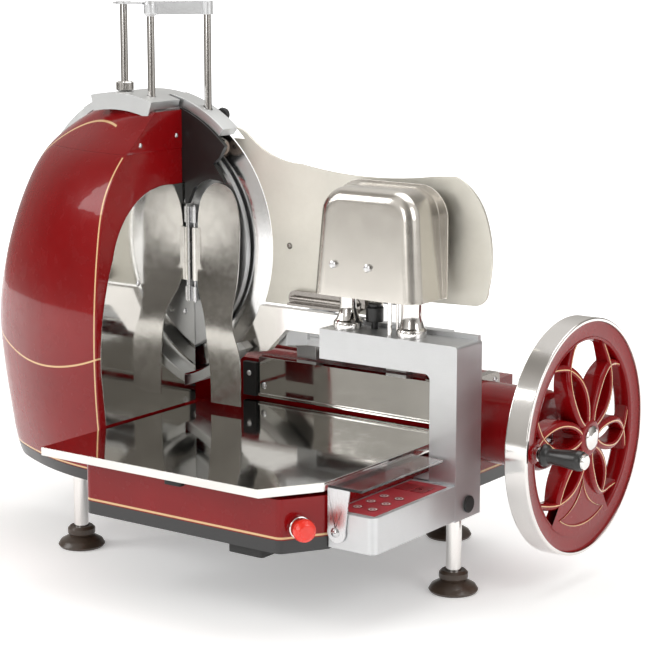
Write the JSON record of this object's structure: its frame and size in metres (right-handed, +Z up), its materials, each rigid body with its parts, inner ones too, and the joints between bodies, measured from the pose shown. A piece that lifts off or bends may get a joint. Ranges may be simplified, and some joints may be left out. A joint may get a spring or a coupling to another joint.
{
  "type": "deli meat slicer",
  "caption": "Flywheel meat slicer: upright round blade in a tall casing, sliding meat table, gauge plate, receiving tray, sharpener, hand flywheel and control panel.",
  "frame": {"origin": "centre of the bounding box's footprint, on the counter top under the feet", "axes": "+X towards the flywheel along the carriage's travel, +Y away from the operator's tray towards the meat table, +Z up"},
  "size_m": [0.843, 0.503, 0.669],
  "materials": {
    "red_paint": "gloss cherry red",
    "black_paint": "satin black",
    "chrome": "mirror",
    "polished_steel": "mirror polished",
    "dark_steel": "dark satin",
    "cast_aluminium": "satin cast",
    "steel": "fine brushed",
    "motor_iron": "painted cast",
    "rubber": "matt",
    "black_plastic": "gloss",
    "bronze_plastic": "dark bronze satin",
    "stop_red": "gloss red",
    "abrasive": "gritty stone",
    "membrane": "printed film",
    "key_film": "printed film",
    "clear_cover": "clear plastic"
  },
  "bodies": {
    "slicer": {"base_body": "red_paint", "base_band": "black_paint", "foot_posts": "chrome", "foot_pads": "bronze_plastic", "power_inlet": "black_plastic", "estop_collar": "steel", "casing_body": "red_paint", "casing_cap": "red_paint", "side_plate": "polished_steel", "screws": "chrome", "black_fittings": "rubber", "bearings": "steel", "bearing_housing": "cast_aluminium", "motor_body": "motor_iron", "drive_belt": "rubber", "blade_cover": "cast_aluminium", "blade_guard": "cast_aluminium", "top_guard": "cast_aluminium", "sharpener_bridge": "cast_aluminium", "sharpener_housing": "black_plastic", "deflector_hinge": "steel", "slide_block": "cast_aluminium", "gauge_cover": "cast_aluminium", "support_columns": "chrome", "support_frame": "cast_aluminium", "lower_guard_bar": "chrome", "rail_cover": "red_paint", "rail_panel": "polished_steel", "guide_rods": "chrome", "rod_brackets": "dark_steel", "shaft_housing": "red_paint", "panel_box": "steel", "panel_membrane": "membrane", "panel_keys": "key_film", "tray": "polished_steel"},
    "blade": {"blade": "polished_steel", "blade_shaft": "steel"},
    "motor_rotor": {"motor_pulley": "steel"},
    "flywheel": {"flywheel": "red_paint", "wheel_band": "chrome", "hub_cap": "chrome", "wheel_shaft": "steel", "grip_spindle": "chrome"},
    "grip": {"grip": "black_plastic"},
    "carriage": {"carriage_frame": "cast_aluminium", "meat_table": "cast_aluminium"},
    "pusher": {"meat_pusher": "cast_aluminium"},
    "gauge": {"gauge_plate": "steel", "gauge_carrier": "dark_steel"},
    "deflector": {"deflector": "polished_steel"},
    "stop_button": {"estop_button": "stop_red"},
    "cover": {"panel_cover": "clear_cover", "cover_bracket": "steel"},
    "sharpener": {"sharpener_posts": "chrome", "sharpener_bar": "chrome", "stone_arm": "dark_steel"},
    "grinding_stone": {"grinding_stone": "abrasive"},
    "honing_stone": {"honing_stone": "abrasive"},
    "collar": {"lock_collar": "chrome"},
    "knob": {"thickness_knob": "black_plastic"}
  },
  "joints": [
    {"name": "flywheel_turn", "type": "hinge", "parent": "slicer", "child": "flywheel", "pos_m": [0.359, 0.11252, 0.178], "axis": [1, 0, 0], "continuous": true},
    {"name": "grip_spin", "type": "hinge", "parent": "flywheel", "child": "grip", "pos_m": [0.399, -0.00141, 0.18198], "axis": [1, 0, 0], "continuous": true},
    {"name": "blade_spin", "type": "hinge", "parent": "slicer", "child": "blade", "pos_m": [-0.221, 0.04652, 0.369], "axis": [0, 1, 0], "continuous": true},
    {"name": "motor_spin", "type": "hinge", "parent": "slicer", "child": "motor_rotor", "pos_m": [-0.296, -0.05148, 0.232], "axis": [0, 1, 0], "continuous": true},
    {"name": "carriage_slide", "type": "slide", "parent": "slicer", "child": "carriage", "axis": [1, 0, 0], "range_m": [-0.315, 0.027]},
    {"name": "pusher_slide", "type": "slide", "parent": "carriage", "child": "pusher", "axis": [0, -1, 0], "range_m": [0, 0.095]},
    {"name": "gauge_slide", "type": "slide", "parent": "slicer", "child": "gauge", "axis": [0, -1, 0], "range_m": [0, 0.012]},
    {"name": "deflector_swing", "type": "hinge", "parent": "slicer", "child": "deflector", "pos_m": [-0.153, 0.02952, 0.355], "axis": [0, 0, 1], "range_deg": [-60, 0]},
    {"name": "stop_button_press", "type": "slide", "parent": "slicer", "child": "stop_button", "axis": [-0.84, 0.5425, 0], "range_m": [0, 0.004], "stiffness_N_per_m": 800, "springref_m": -0.002},
    {"name": "cover_tilt", "type": "hinge", "parent": "slicer", "child": "cover", "pos_m": [0.216, -0.18548, 0.112], "axis": [0, 1, 0], "range_deg": [0, 25]},
    {"name": "sharpener_lower", "type": "slide", "parent": "slicer", "child": "sharpener", "axis": [0, 0, -1], "range_m": [0, 0.018]},
    {"name": "grinding_stone_spin", "type": "hinge", "parent": "sharpener", "child": "grinding_stone", "pos_m": [-0.135, 0.03352, 0.488], "axis": [0, 1, 0], "continuous": true},
    {"name": "honing_stone_spin", "type": "hinge", "parent": "sharpener", "child": "honing_stone", "pos_m": [-0.109, 0.03352, 0.492], "axis": [0, 1, 0], "continuous": true},
    {"name": "lock_collar_turn", "type": "hinge", "parent": "slicer", "child": "collar", "pos_m": [-0.226, -0.01348, 0.564], "axis": [0, 0, 1], "range_deg": [0, 90]},
    {"name": "thickness_knob_turn", "type": "hinge", "parent": "slicer", "child": "knob", "pos_m": [0.129, 0.01452, 0.31], "axis": [0, 0, 1], "range_deg": [0, 300]}
  ],
  "couplings": [
    {"joint": "motor_spin", "follows": "blade_spin", "ratio": 2},
    {"joint": "thickness_knob_turn", "follows": "gauge_slide", "rad_per_m": 436}
  ]
}
